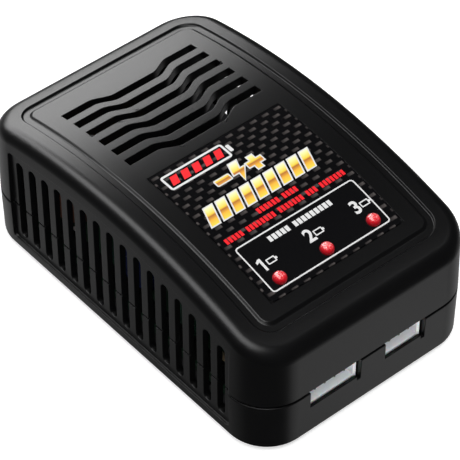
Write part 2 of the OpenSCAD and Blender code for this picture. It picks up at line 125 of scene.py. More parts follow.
def crown(y):
    """Height of the arched top at a distance y along the case."""
    return CASE_H - (y - CROWN_Y) ** 2 / (2 * CROWN_R)


# ---------- mesh helpers ----------

def to_object(name, verts, faces):
    """A mesh object from points in millimetres above the case bottom."""
    mesh = bpy.data.meshes.new(name)
    points = [(x * MM, y * MM, (z + LIFT) * MM) for x, y, z in verts]
    mesh.from_pydata(points, [], faces)
    mesh.update()
    obj = bpy.data.objects.new(name, mesh)
    bpy.context.scene.collection.objects.link(obj)
    return obj


def join_meshes(parts):
    """One list of points and faces from several."""
    verts, faces = [], []
    for v, f in parts:
        start = len(verts)
        verts += [tuple(p) for p in v]
        faces += [tuple(i + start for i in face) for face in f]
    return verts, faces


def half_outline(inset, corner_steps, side_steps):
    """Right half of the case outline, front to rear, moved inwards."""
    r = CORNER_R - inset
    turn = np.radians(np.linspace(0, 90, corner_steps + 1))
    front = [(CORNER_X + r * math.sin(a), -CORNER_Y - r * math.cos(a)) for a in turn]
    ys = np.linspace(-CORNER_Y, CORNER_Y, side_steps + 1)[1:-1]
    side = [(HALF_W - inset, y) for y in ys]
    rear = [(CORNER_X + r * math.cos(a), CORNER_Y + r * math.sin(a)) for a in turn]
    return front + side + rear


def shell(levels, corner_steps=16, side_steps=64, columns=1):
    """Closed solid through levels of (inset, height, follows the arch, share of draft).

    The top is closed by rows across the case, each cut into a number of columns.
    """
    verts = []
    for inset, height, arched, drafted in levels:
        right = []
        for x, y in half_outline(inset, corner_steps, side_steps):
            z = height + (crown(y) if arched else 0)
            extra = drafted * DRAFT * abs(z - PARTING_Z)
            scale = max(CORNER_R - inset - extra, 0.05) / max(CORNER_R - inset, 0.05)
            if abs(y) <= CORNER_Y:
                right.append((x - extra, y, z))
            else:
                dx, dy = x - CORNER_X, abs(y) - CORNER_Y
                right.append((CORNER_X + dx * scale, math.copysign(CORNER_Y + dy * scale, y), z))
        verts += right + [(-x, y, z) for x, y, z in reversed(right)]
    half = 2 * (corner_steps + 1) + side_steps - 1
    ring = 2 * half
    top = (len(levels) - 1) * ring
    faces = []
    for k in range(len(levels) - 1):
        for i in range(ring):
            a, b = k * ring + i, k * ring + (i + 1) % ring
            faces.append((a, b, b + ring, a + ring))
    rows = []
    for i in range(half):
        x, y, z = verts[top + i]
        inner = range(len(verts), len(verts) + columns - 1)
        verts += [(x * (1 - 2 * k / columns), y, z) for k in range(1, columns)]
        rows.append([top + i, *inner, top + ring - 1 - i])
    for i in range(half - 1):
        faces.append((i + 1, i, ring - 1 - i, ring - 2 - i))
        for k in range(columns):
            faces.append((rows[i][k], rows[i + 1][k], rows[i + 1][k + 1], rows[i][k + 1]))
    return verts, faces


def prism(outline, axis, low, high):
    """Prism of a closed outline (anticlockwise) along x, y or z."""
    place = {
        "x": lambda u, v, w: (w, u, v),
        "y": lambda u, v, w: (v, w, u),
        "z": lambda u, v, w: (u, v, w),
    }[axis]
    n = len(outline)
    verts = [place(u, v, low) for u, v in outline] + [place(u, v, high) for u, v in outline]
    faces = [tuple(reversed(range(n))), tuple(range(n, 2 * n))]
    faces += [(i, (i + 1) % n, (i + 1) % n + n, i + n) for i in range(n)]
    return verts, faces


def block(lo, hi):
    outline = [(lo[0], lo[1]), (hi[0], lo[1]), (hi[0], hi[1]), (lo[0], hi[1])]
    return prism(outline, "z", lo[2], hi[2])


def disc(x, y, r, steps=40):
    turn = np.linspace(0, 2 * math.pi, steps, endpoint=False)
    return [(x + r * math.cos(t), y + r * math.sin(t)) for t in turn]


def arched_sheet(width, y0, y1, low, high, steps=48):
    """Sheet that follows the arch, from low to high above it."""
    rows = []
    for y in np.linspace(y0, y1, steps + 1):
        rows += [(s * width / 2, y, crown(y) + h) for s in (-1, 1) for h in (low, high)]
    faces = [(0, 2, 3, 1), (4 * steps, 4 * steps + 1, 4 * steps + 3, 4 * steps + 2)]
    for i in range(steps):
        for a, b, c, d in ((0, 1, 5, 4), (2, 6, 7, 3), (0, 4, 6, 2), (1, 3, 7, 5)):
            faces.append(tuple(k + 4 * i for k in (a, b, c, d)))
    return rows, faces


def fix_normals(obj):
    bm = bmesh.new()
    bm.from_mesh(obj.data)
    bmesh.ops.recalc_face_normals(bm, faces=bm.faces)
    bm.to_mesh(obj.data)
    bm.free()


def apply_modifiers(obj):
    """Bake an object's modifiers into its mesh."""
    depsgraph = bpy.context.evaluated_depsgraph_get()
    mesh = bpy.data.meshes.new_from_object(obj.evaluated_get(depsgraph))
    old = obj.data
    obj.modifiers.clear()
    obj.data = mesh
    bpy.data.meshes.remove(old)


def combine(obj, parts, operation="DIFFERENCE"):
    """Cut parts from obj, or join them to it."""
    cutter = to_object("cutter", *join_meshes(parts))
    fix_normals(cutter)
    step = obj.modifiers.new("cut", "BOOLEAN")
    step.operation = operation
    step.solver = "EXACT"
    step.object = cutter
    apply_modifiers(obj)
    bpy.data.objects.remove(cutter)


def soften(obj, width, angle=35, segments=2):
    """Small round on the sharp edges, then smooth shading between them."""
    bm = bmesh.new()
    bm.from_mesh(obj.data)
    bmesh.ops.remove_doubles(bm, verts=bm.verts, dist=0.004 * MM)
    bm.to_mesh(obj.data)
    bm.free()
    if width:
        step = obj.modifiers.new("round", "BEVEL")
        step.width = width * MM
        step.segments = segments
        step.limit_method = "ANGLE"
        step.angle_limit = math.radians(angle)
        step.use_clamp_overlap = False
        apply_modifiers(obj)
    shade(obj)


def shade(obj, angle=30):
    """Smooth faces whose larger neighbours lead, with a crease above the angle."""
    bm = bmesh.new()
    bm.from_mesh(obj.data)
    for face in bm.faces:
        face.smooth = True
    for edge in bm.edges:
        edge.smooth = len(edge.link_faces) == 2 and edge.calc_face_angle(0) < math.radians(angle)
    bm.to_mesh(obj.data)
    bm.free()
    step = obj.modifiers.new("lead", "WEIGHTED_NORMAL")
    step.keep_sharp = True
    apply_modifiers(obj)


def arch_normals(obj):
    """Exact normals of the arch for the faces that lie on it."""
    mesh = obj.data
    normals = [corner.vector.copy() for corner in mesh.corner_normals]
    for face in mesh.polygons:
        for k in face.loop_indices:
            point = mesh.vertices[mesh.loops[k].vertex_index].co / MM
            upward = Vector((0, (point.y - CROWN_Y) / CROWN_R, 1)).normalized()
            on_arch = abs(point.z - LIFT - crown(point.y)) < 0.02
            if on_arch and face.normal.dot(upward) > 0.7:
                normals[k] = upward
    mesh.normals_split_custom_set(normals)


def four(point):
    return [(sx * point[0], sy * point[1]) for sx in (-1, 1) for sy in (-1, 1)]


# ---------- case shells ----------

def wave(x):
    """Centre line of a wavy vent: straight, an S-bend, lowered in the middle."""
    t = min(max((BEND_X - abs(x)) / BEND_RUN, 0), 1)
    return -WAVE_DROP * t * t * (3 - 2 * t)


def wave_cutters():
    xs = np.linspace(-WAVE_HALF, WAVE_HALF, 61)
    parts = []
    for i in range(WAVE_COUNT):
        y = WAVE_Y - WAVE_PITCH * i
        lower = [(x, y + wave(x) - WAVE_T) for x in xs]
        upper = [(x, y + wave(x)) for x in reversed(xs)]
        parts.append(prism(lower + upper, "z", CASE_H - 12, CASE_H + 3))
    return parts


def slot_cutters():
    """Upright slots with round ends, through both long walls."""
    parts = []
    r = SLOT_R
    for i in range(SLOT_COUNT):
        y = SLOT_PITCH * (i - (SLOT_COUNT - 1) / 2)
        high, low = crown(y) - SLOT_DROP - r, SLOT_LOW + r
        turn = np.linspace(0, math.pi, 13)
        outline = [(y + r * math.cos(t), high + r * math.sin(t)) for t in turn]
        outline += [(y - r * math.cos(t), low - r * math.sin(t)) for t in turn]
        for side in (-1, 1):
            x = side * (HALF_W - WALL)
            parts.append(prism(outline, "x", x - 3, x + 3))
    return parts


def panel_cutters():
    """Sunken panels around the slots, with an arched top edge."""
    y1, low, r = PANEL_END, PANEL_LOW, PANEL_R
    turn = np.radians(np.linspace(0, 90, 7))
    high = crown(y1) - PANEL_DROP - r
    outline = [(-y1 - r * math.cos(t), low - r * math.sin(t)) for t in turn]
    outline += [(y1 + r * math.sin(t), low - r * math.cos(t)) for t in turn]
    outline += [(y1 + r * math.cos(t), high + r * math.sin(t)) for t in turn]
    outline += [(y, crown(y) - PANEL_DROP) for y in np.linspace(y1, -y1, 49)[1:-1]]
    high = crown(-y1) - PANEL_DROP - r
    outline += [(-y1 - r * math.sin(t), high + r * math.cos(t)) for t in turn]
    parts = []
    for side in (-1, 1):
        x = side * (HALF_W + PANEL_OUT)
        parts.append(prism(outline, "x", x - 2, x + 2))
    return parts


def lamp_holes():
    return [prism(disc(k * LAMP_PITCH, LAMP_Y, LAMP_HOLE_R), "z", *THROUGH_ROOF) for k in (-1, 0, 1)]


def inlet_cutter():
    lo, hi = box_mm("ac_inlet_body")
    gap = INLET_GAP
    low = (lo[0] - gap, HALF_L - 6, lo[2] - LIFT - gap)
    return block(low, (hi[0] + gap, HALF_L + 2, hi[2] - LIFT + gap))


def groove_shape(u):
    """Share of the groove's depth at u from its outer edge: steep outside, softer inside."""
    if u < GROOVE_OUTER:
        return (1 - math.cos(math.pi * u / GROOVE_OUTER)) / 2
    return (1 + math.cos(math.pi * max(u - GROOVE_W + GROOVE_INNER, 0) / GROOVE_INNER)) / 2


def take_mesh(obj):
    """Points and faces of a helper object, which is then removed."""
    points = [tuple(v.co / MM - Vector((0, 0, LIFT))) for v in obj.data.vertices]
    faces = [tuple(p.vertices) for p in obj.data.polygons]
    bpy.data.objects.remove(obj)
    return points, faces


def make_cover():
    """Tongue, rounded rim, drafted wall, fillet, arch and groove, hollowed and then cut."""
    r = FILLET_R
    levels = [(TONGUE_IN, RIM_Z, False, 0), (TONGUE_IN, PARTING_Z, False, 0)]
    levels += [(0.16, PARTING_Z, False, 0), (0.04, PARTING_Z + 0.05, False, 0)]
    levels += [(0, PARTING_Z + 0.18, False, 0)]
    turn = np.radians(np.linspace(0, 90, 13))
    levels += [(r * (1 - math.cos(a)), -r * (1 - math.sin(a)), True, 1) for a in turn]
    levels += [(GROOVE_IN - 0.3, 0, True, 0)]
    for u in np.linspace(0, GROOVE_W, 26):
        levels.append((GROOVE_IN + u, -GROOVE_DEEP * groove_shape(u), True, 0))
    levels += [(GROOVE_IN + GROOVE_W + 0.3, 0, True, 0)]
    cover = to_object("cover_shell", *shell(levels, columns=40))

    cavity = to_object("cavity", *shell([
        (WALL, RIM_Z - 2, False, 0), (WALL, PARTING_Z, False, 0), (WALL, -ROOF - 1.2, True, 1),
        (WALL + 0.4, -ROOF - 0.4, True, 1), (WALL + 1.2, -ROOF, True, 1)], 8, 32))
    combine(cavity, [prism(disc(x, y, BOSS_R), "z", POST_TOP + 0.1, 40) for x, y in four(BOSS)])

    combine(cover, [take_mesh(cavity)])
    combine(cover, panel_cutters())
    bed_w, bed_y0, bed_y1 = LABEL_W + 2 * LABEL_GAP, LABEL_Y0 - LABEL_GAP, LABEL_Y1 + LABEL_GAP
    combine(cover, [arched_sheet(bed_w, bed_y0, bed_y1, -BED_DEEP, 1)])
    combine(cover, wave_cutters() + slot_cutters() + lamp_holes())
    pilots = [prism(disc(x, y, PILOT_R, 24), "z", *PILOT_Z) for x, y in four(BOSS)]
    mouths = [block((a, 1 - HALF_L, 8), (b, 5 - HALF_L, MOUTH_TOP)) for a, b in SOCKET_MOUTHS]
    combine(cover, pilots + mouths + [inlet_cutter()])
    soften(cover, EDGE_R)
    arch_normals(cover)
    return cover


def ring_prism(inset, low, high):
    """Prism of the whole case outline moved inwards."""
    right = half_outline(inset, 8, 1)
    outline = right + [(-x, y) for x, y in reversed(right)]
    return prism(outline, "z", low, high)


def make_base():
    """Tray with a lip, posts and board supports, then its openings and sockets' sills."""
    turn = np.radians(np.linspace(0, 90, 5))
    levels = [(0.5 * (1 - math.sin(a)), 0.5 * (1 - math.cos(a)), False, 1) for a in turn]
    levels += [(0, RIM_Z - 0.18, False, 0), (0.04, RIM_Z - 0.05, False, 0), (0.16, RIM_Z, False, 0)]
    base = to_object("base_shell", *shell(levels, 16, 1))
    combine(base, [ring_prism(LIP_IN, 7, LIP_TOP)], "UNION")

    cavity = to_object("cavity", *ring_prism(WALL + 0.3, FLOOR, 9))
    combine(cavity, [ring_prism(LIP_OUT, 8.9, 17)], "UNION")
    posts = [prism(disc(x, y, POST_R), "z", 0, POST_TOP) for x, y in four(BOSS)]
    stands = [prism(disc(x, y, STAND_R), "z", 0, BOARD_Z) for x, y in four(STAND)]
    combine(cavity, posts + stands)

    combine(base, [take_mesh(cavity)])
    combine(base, panel_cutters())
    combine(base, slot_cutters())
    holes = [prism(disc(x, y, HEAD_HOLE_R), "z", -1, HEAD_HOLE_TOP) for x, y in four(BOSS)]
    holes += [prism(disc(x, y, FOOT_HOLE_R), "z", -1, FOOT_HOLE_TOP) for x, y in four(FOOT)]
    combine(base, holes)
    bores = [prism(disc(x, y, SHANK_HOLE_R, 24), "z", 0, 14) for x, y in four(BOSS)]
    bores += [prism(disc(x, y, STAND_HOLE_R, 24), "z", *STAND_HOLE_Z) for x, y in four(STAND)]
    rating_bed = block((-RATING_X, -RATING_Y, -1), (RATING_X, RATING_Y, RATING_DEEP))
    combine(base, bores + [inlet_cutter(), rating_bed])
    outside, inside, sill_top = -HALF_L - 1, 5 - HALF_L, SILL_Z + 0.5
    above, behind, notches = [], [], []
    for a, b in SOCKET_MOUTHS:
        above.append(block((a, outside, SILL_Z), (b, inside, 18)))
        behind.append(block((a, SILL_T - HALF_L, MOUTH_Z), (b, inside, sill_top)))
        notches.append(block((b - SILL_T, outside, MOUTH_Z), (b, 3 - HALF_L, sill_top)))
    for cuts in (above, behind, notches):
        combine(base, cuts)
    soften(base, EDGE_R)
    return base


# ---------- label and its print ----------

def on_label(name, polygons, above):
    """Flat polygons laid on the arched label, cut into strips so that they follow it."""
    bm = bmesh.new()
    for polygon in polygons:
        bm.faces.new([bm.verts.new((x, y, 0)) for x, y in polygon])
    ys = [v.co.y for v in bm.verts]
    for y in np.arange(math.floor(min(ys)) + 1, max(ys), 1.0):
        geometry = bm.verts[:] + bm.edges[:] + bm.faces[:]
        bmesh.ops.bisect_plane(bm, geom=geometry, plane_co=(0, y, 0), plane_no=(0, 1, 0), dist=1e-6)
    for v in bm.verts:
        v.co = Vector((v.co.x, v.co.y, crown(v.co.y) + LABEL_Z + above + LIFT)) * MM
    bmesh.ops.recalc_face_normals(bm, faces=bm.faces)
    for face in bm.faces:
        if face.normal.z < 0:
            face.normal_flip()
    mesh = bpy.data.meshes.new(name)
    bm.to_mesh(mesh)
    bm.free()
    obj = bpy.data.objects.new(name, mesh)
    bpy.context.scene.collection.objects.link(obj)
    return obj


def outset(polygon, d):
    """The polygon grown by d on every side (anticlockwise outline)."""
    grown = []
    n = len(polygon)
    for i in range(n):
        before, here, after = (Vector(polygon[k % n]) for k in (i - 1, i, i + 1))
        n0 = Vector(((here - before).y, -(here - before).x)).normalized()
        n1 = Vector(((after - here).y, -(after - here).x)).normalized()
        grown.append(tuple(here + (n0 + n1) * (d / max(1 + n0.dot(n1), 0.35))))
    return grown


def rounded(x0, y0, x1, y1, r, steps=5):
    """Rectangle with round corners."""
    turn = np.radians(np.linspace(0, 90, steps + 1))
    left, right, low, high = x0 + r, x1 - r, y0 + r, y1 - r
    corners = ((right, high, 0), (left, high, 90), (left, low, 180), (right, low, 270))
    return [(cx + r * math.cos(t + math.radians(a)), cy + r * math.sin(t + math.radians(a)))
            for cx, cy, a in corners for t in turn]


def frame_strip(outer, inner):
    n = len(outer)
    return [(outer[i], outer[(i + 1) % n], inner[(i + 1) % n], inner[i]) for i in range(n)]


def rounded_frame(x0, y0, x1, y1, r, line):
    inner = rounded(x0 + line, y0 + line, x1 - line, y1 - line, max(r - line, 0.05))
    return frame_strip(rounded(x0, y0, x1, y1, r), inner)


def slanted(x, y0, y1, w, lean):
    return [(x, y0), (x + w, y0), (x + w + lean, y1), (x + lean, y1)]


def bolt(cx, cy, h):
    shape = [(-0.1, -0.5), (0.32, 0.08), (0.07, 0.08), (0.24, 0.5)]
    shape += [(-0.14, 0.5), (-0.32, -0.06), (-0.04, -0.06)]
    return [(cx + x * h, cy + y * h) for x, y in shape]


def plus(cx, cy, r, t):
    q = t / 2
    shape = [(-q, -r), (q, -r), (q, -q), (r, -q), (r, q), (q, q)]
    shape += [(q, r), (-q, r), (-q, q), (-r, q), (-r, -q), (-q, -q)]
    return [(cx + x, cy + y) for x, y in shape]


def blocks(x0, x1, y0, y1, groups):
    """A line of small blocks in groups, spread from x0 to x1."""
    gap, space = 0.24, 0.9
    total = sum(groups) + space * (len(groups) - 1)
    unit = (x1 - x0) / total
    polygons, x = [], x0
    for count in groups:
        for k in range(count):
            polygons.append([(x, y0), (x + unit - gap, y0), (x + unit - gap, y1), (x, y1)])
            x += unit
        x += space * unit
    return polygons


def figure_one(cx, cy):
    """The figure 1, as a stem and a flag."""
    left, right, low, high = cx - 0.12, cx + 0.43, cy - 1.45, cy + 1.45
    stem = [(left, low), (right, low), (right, high), (left, high)]
    flag = [(cx - 0.8, cy + 0.5), (left, cy + 0.8), (left, high), (cx - 0.8, cy + 1.05)]
    return [stem, flag]


def digit(text, cx, cy, height):
    """Outlines of a bold figure centred at (cx, cy)."""
    curve = bpy.data.curves.new("figure", "FONT")
    curve.body = text
    curve.size = height * 1.4
    curve.align_x, curve.align_y = "CENTER", "CENTER"
    curve.offset = 0.1
    flat = bpy.data.objects.new("figure_flat", curve)
    bpy.context.scene.collection.objects.link(flat)
    bpy.context.view_layer.update()
    mesh = flat.to_mesh()
    points = [(v.co.x + cx, v.co.y + cy) for v in mesh.vertices]
    polygons = [[points[i] for i in p.vertices] for p in mesh.polygons]
    flat.to_mesh_clear()
    bpy.data.objects.remove(flat)
    return polygons


def make_label():
    """Film on the arch, with round front corners and holes for the lamps."""
    film = arched_sheet(LABEL_W, LABEL_Y0, LABEL_Y1, LABEL_Z - LABEL_T, LABEL_Z)
    sheet = to_object("label_film", *film)
    r = LABEL_CORNER
    turn = np.radians(np.linspace(0, 90, 9))
    corners = []
    for side in (-1, 1):
        cx, cy = side * (LABEL_W / 2 - r), LABEL_Y0 + r
        beyond = side * (LABEL_W / 2 + 1)
        outline = [(cx + side * r * math.sin(t), cy - r * math.cos(t)) for t in turn]
        outline += [(beyond, cy), (beyond, LABEL_Y0 - 1), (cx, LABEL_Y0 - 1)]
        corners.append(prism(outline, "z", *THROUGH_ROOF))
    combine(sheet, corners + lamp_holes())
    shade(sheet)
    return sheet


# ---------- sockets and lamps ----------

def make_shroud(name, node, contacts):
    """Balance socket shroud with keyed slots, rounded edges and a hole for each contact."""
    lo, hi = box_mm(node)
    x0, x1, y0, y1 = lo[0], hi[0], lo[1], hi[1]
    z0, z1 = lo[2] - LIFT, hi[2] - LIFT
    middle = (x0 + x1) / 2
    obj = to_object(name, *block((x0, y0, z0), (x1, y1, z1)))
    low = (x0 + SHROUD_SIDE, y0 - 1, z0 + SHROUD_SKIN)
    combine(obj, [block(low, (x1 - SHROUD_SIDE, y0 + SHROUD_DEEP, z1 - SHROUD_SKIN))])
    cuts = []
    for side in (-1, 1):
        cx = middle + side * ((x1 - x0) / 2 - 2.2)
        cuts.append(block((cx - 0.5, y0 - 1, z1 - 1), (cx + 0.5, y0 + 4.6, z1 + 1)))
        cx = middle + side * (x1 - x0) / 2
        cuts.append(block((cx - 0.4, y0 + 6, z0 + 1.6), (cx + 0.4, y0 + 10, z0 + 4)))
    for i in range(contacts):
        cx = middle + PIN_PITCH * (i - (contacts - 1) / 2)
        low = (cx - PIN_HOLE, y0 + 5, z0 + PIN_HOLE_Z0)
        cuts.append(block(low, (cx + PIN_HOLE, y0 + 11, z0 + PIN_HOLE_Z1)))
    combine(obj, cuts)
    soften(obj, 0.1, angle=40, segments=3)
    return obj


def make_lamp(name, node):
    """Round-topped lamp: flange, straight body and dome as one turned form."""
    lo, hi = box_mm(node)
    cx, cy, z0 = (lo[0] + hi[0]) / 2, (lo[1] + hi[1]) / 2, lo[2] - LIFT
    r, flange, body = LAMP_R, LAMP_R + 0.4, 3.8
    profile = [(0, 0), (r + 0.3, 0), (flange, 0.1), (flange, 0.9)]
    profile += [(r + 0.3, 1), (r + 0.03, 1.03), (r, 1.1), (r, body)]
    dome = np.radians(np.linspace(7.5, 90, 12))
    profile += [(r * math.cos(a), body + r * math.sin(a)) for a in dome]
    steps = 48
    turn = np.linspace(0, 2 * math.pi, steps, endpoint=False)
    verts, faces = [], []
    for rr, z in profile[1:-1]:
        verts += [(cx + rr * math.cos(t), cy + rr * math.sin(t), z0 + z) for t in turn]
    rows = len(profile) - 2
    for k in range(rows - 1):
        for i in range(steps):
            a, b = k * steps + i, k * steps + (i + 1) % steps
            faces.append((a, b, b + steps, a + steps))
    verts += [(cx, cy, z0), (cx, cy, z0 + profile[-1][1])]
    for i in range(steps):
        j = (i + 1) % steps
        faces.append((j, i, rows * steps))
        faces.append(((rows - 1) * steps + i, (rows - 1) * steps + j, rows * steps + 1))
    obj = to_object(name, verts, faces)
    shade(obj, 50)
    return obj


# ---------- materials ----------

class Nodes:
    """Short forms for the nodes that the materials share."""

    def __init__(self, name):
        self.material = bpy.data.materials.new(name)
        self.material.use_nodes = True
        self.tree = self.material.node_tree
        self.shader = self.tree.nodes["Principled BSDF"]
        self.place = self.add("ShaderNodeTexCoord").outputs["Object"]

    def add(self, kind, **values):
        node = self.tree.nodes.new(kind)
        for key, value in values.items():
            setattr(node, key, value)
        return node

    def feed(self, socket, value):
        if isinstance(value, bpy.types.NodeSocket):
            self.tree.links.new(value, socket)
        else:
            socket.default_value = value

    def math(self, operation, a, b=0.0):
        node = self.add("ShaderNodeMath", operation=operation)
        self.feed(node.inputs[0], a)
        self.feed(node.inputs[1], b)
        return node.outputs[0]

    def step(self, value, low, high):
        """0 below low, 1 above high, smooth between."""
        node = self.add("ShaderNodeMapRange", interpolation_type="SMOOTHSTEP")
        self.feed(node.inputs["Value"], value)
        self.feed(node.inputs["From Min"], low)
        self.feed(node.inputs["From Max"], high)
        return node.outputs["Result"]

    def spread(self, value, low, high):
        node = self.add("ShaderNodeMapRange")
        self.feed(node.inputs["Value"], value)
        self.feed(node.inputs["To Min"], low)
        self.feed(node.inputs["To Max"], high)
        return node.outputs["Result"]

    def noise(self, size_mm, detail=3.0, stretch=None):
        """Noise whose features are about size_mm across."""
        node = self.add("ShaderNodeTexNoise")
        place = self.place
        if stretch:
            scale = self.add("ShaderNodeVectorMath", operation="MULTIPLY")
            self.feed(scale.inputs[0], place)
            scale.inputs[1].default_value = stretch
            place = scale.outputs[0]
        self.feed(node.inputs["Vector"], place)
        node.inputs["Scale"].default_value = 1 / (size_mm * MM)
        node.inputs["Detail"].default_value = detail
        return node.outputs[0]

    def mix(self, factor, a, b):
        node = self.add("ShaderNodeMix", data_type="RGBA")
        self.feed(node.inputs[0], factor)
        self.feed(node.inputs[6], a)
        self.feed(node.inputs[7], b)
        return node.outputs[2]

    def ramp(self, factor, stops):
        node = self.add("ShaderNodeValToRGB")
        self.feed(node.inputs[0], factor)
        elements = node.color_ramp.elements
        while len(elements) < len(stops):
            elements.new(0.5)
        for element, (place, color) in zip(elements, stops):
            element.position = place
            element.color = (*color, 1)
        return node.outputs[0]

    def axis(self, name):
        split = self.add("ShaderNodeSeparateXYZ")
        self.feed(split.inputs[0], self.place)
        return self.math("DIVIDE", split.outputs[name], MM)

    def bump(self, height, depth_mm):
        node = self.add("ShaderNodeBump")
        node.inputs["Strength"].default_value = 1.0
        node.inputs["Distance"].default_value = depth_mm * MM
        self.feed(node.inputs["Height"], height)
        self.feed(self.shader.inputs["Normal"], node.outputs[0])

    def set(self, **values):
        for key, value in values.items():
            self.feed(self.shader.inputs[key.replace("_", " ")], value)


def grown(color, factor):
    return (*[min(c * factor, 1) for c in color[:3]], 1)


def moulded(name, color, rough=0.5, grain=0.35, depth=0.012, tint=0.2, gloss=0.5):
    """Moulded plastic, rubber, lacquer or ceramic: mottled colour, fine grain."""
    m = Nodes(name)
    large, small = m.noise(9.0), m.noise(grain, 4)
    color_out = m.mix(large, grown(color, 1 - tint), grown(color, 1 + tint))
    m.set(Base_Color=color_out, Roughness=m.spread(small, rough - 0.08, rough + 0.08))
    m.set(Specular_IOR_Level=gloss)
    m.bump(small, depth)
    return m.material


def metal(name, color, rough=0.3, stretch=(1, 1, 12), grain=0.5):
    """Rolled, drawn or plated metal: long faint streaks."""
    m = Nodes(name)
    streaks = m.noise(grain, 4, stretch)
    m.set(Base_Color=m.mix(streaks, grown(color, 0.8), grown(color, 1.15)), Metallic=1.0)
    m.set(Roughness=m.spread(streaks, rough - 0.08, rough + 0.1))
    m.bump(streaks, 0.004)
    return m.material


def case_plastic():
    """Black plastic with a fine spark-eroded texture."""
    m = Nodes("case_plastic")
    fine, soft, patch = m.noise(0.16, 2), m.noise(0.5, 2), m.noise(14, 2)
    m.set(Base_Color=m.mix(patch, (0.0018, 0.0018, 0.002, 1), (0.003, 0.003, 0.0033, 1)))
    m.set(Roughness=m.spread(soft, 0.29, 0.35))
    m.set(Specular_IOR_Level=0.22)
    m.bump(fine, 0.009)
    return m.material


def label_film():
    """Black film printed with a woven pattern of short soft dashes."""
    m = Nodes("label_film")
    pitch_x, pitch_y = 3.1, 1.55
    column, row = m.math("DIVIDE", m.axis("X"), pitch_x), m.math("DIVIDE", m.axis("Y"), pitch_y)
    line = m.math("FLOOR", row)
    shift = m.math("MULTIPLY", m.math("MODULO", m.math("ABSOLUTE", line), 2.0), 0.5)
    cell = m.math("FRACT", m.math("ADD", column, shift))
    across = m.math("ABSOLUTE", m.math("SUBTRACT", cell, 0.5))
    along = m.math("ABSOLUTE", m.math("SUBTRACT", m.math("FRACT", row), 0.5))
    dash = m.math("MULTIPLY", m.step(across, 0.29, 0.21), m.step(along, 0.3, 0.12))
    sweep = m.spread(cell, -0.1, 1.5)
    uneven = m.spread(m.noise(0.5), 0.6, 1.3)
    bright = m.math("MULTIPLY", dash, m.math("MULTIPLY", sweep, uneven))
    m.set(Base_Color=m.mix(bright, (0.003, 0.003, 0.0035, 1), (0.075, 0.066, 0.064, 1)))
    m.set(Roughness=m.spread(m.noise(1.5), 0.17, 0.22))
    m.set(Specular_IOR_Level=0.15)
    m.bump(m.math("ADD", dash, m.noise(0.3)), 0.003)
    return m.material


def print_ink(name, color, rough=0.4):
    m = Nodes(name)
    speckle = m.noise(0.18, 3)
    m.set(Base_Color=m.mix(speckle, grown(color, 0.93), grown(color, 1.05)))
    m.set(Roughness=m.spread(speckle, rough - 0.05, rough + 0.05))
    m.set(Specular_IOR_Level=0.15)
    m.bump(speckle, 0.002)
    return m.material


def gold_ink(name, low, high):
    """Ink that runs from pale yellow through an orange band back to yellow."""
    m = Nodes(name)
    t = m.math("DIVIDE", m.math("SUBTRACT", m.axis("Y"), low), high - low)
    stops = ((0.0, (1.0, 0.78, 0.08)), (0.3, (0.95, 0.5, 0.03)), (0.5, (0.45, 0.12, 0.015)),
             (0.58, (1.0, 0.7, 0.05)), (0.8, (1.0, 0.9, 0.35)), (1.0, (1.0, 1.0, 0.85)))
    speckle = m.noise(0.18, 3)
    m.set(Base_Color=m.mix(m.spread(speckle, 0, 0.15), m.ramp(t, stops), (0.6, 0.3, 0.02, 1)))
    m.set(Roughness=m.spread(speckle, 0.3, 0.4))
    m.bump(speckle, 0.002)
    return m.material


def nylon():
    """White socket nylon: slightly waxy, with faint flow marks."""
    m = Nodes("socket_nylon")
    flow, grain = m.noise(3, 3, (1, 0.3, 1)), m.noise(0.3, 3)
    m.set(Base_Color=m.mix(flow, (0.84, 0.87, 0.9, 1), (0.92, 0.94, 0.96, 1)))
    m.set(Roughness=m.spread(grain, 0.38, 0.5))
    m.shader.inputs["Subsurface Weight"].default_value = 0.25
    m.shader.inputs["Subsurface Scale"].default_value = 0.6 * MM
    m.bump(grain, 0.004)
    return m.material


def lamp_epoxy():
    """Tinted red epoxy with painted shade darker towards the flange, painted light at the top and a
    painted glint on the tip.
    """
    m = Nodes("lamp_epoxy")
    top = box_mm("led_2")[1][2]
    swirl, glint_patches = m.noise(0.8), m.noise(0.28, 1)
    # Painted shade and light: the red is dark below the dome and bright at its top.
    t = m.step(m.axis("Z"), top - 1.5, top)
    red = m.mix(t, (0.2, 0.001, 0.004, 1), (0.8, 0.015, 0.03, 1))
    # Painted highlight: pale pink glint patches on the tip of the dome.
    tip = m.step(m.axis("Z"), top - 0.7, top - 0.1)
    painted_glint = m.math("MULTIPLY", tip, m.step(glint_patches, 0.4, 0.68))
    m.set(Base_Color=m.mix(m.math("MULTIPLY", painted_glint, 0.7), red, (1, 0.5, 0.5, 1)))
    m.set(Roughness=m.spread(swirl, 0.1, 0.16))
    m.shader.inputs["Subsurface Weight"].default_value = 0.3
    m.shader.inputs["Subsurface Radius"].default_value = (1, 0.1, 0.1)
    m.shader.inputs["Subsurface Scale"].default_value = 0.8 * MM
    m.bump(swirl, 0.004)
    return m.material


def studio_floor():
    m = Nodes("studio_floor")
    grain = m.noise(40, 3)
    m.set(Base_Color=m.mix(grain, (0.9, 0.9, 0.9, 1), (0.93, 0.93, 0.93, 1)))
    m.set(Roughness=m.spread(grain, 0.7, 0.8), Emission_Color=(1, 1, 1, 1), Emission_Strength=0.45)
    m.set(Specular_IOR_Level=0.0)
    return m.material


def dress(obj, material):
    obj.data.materials.clear()
    obj.data.materials.append(material)


# ---------- pieces ----------

def piece(obj, material, replaces=None):
    """Ride on the case, take a material and stand for a CAD node."""
    dress(obj, material)
    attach(obj, "root")
    if replaces:
        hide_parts(replaces)


plastic = case_plastic()
piece(make_cover(), plastic, "top_cover")
piece(make_base(), plastic, "base")
piece(make_label(), label_film(), "top_label")

white_nylon = nylon()
for name, node, contacts in (
        ("shroud_four_way", "socket_3s_shroud", 4),
        ("shroud_three_way", "socket_2s_shroud", 3)):
    piece(make_shroud(name, node, contacts), white_nylon, node)

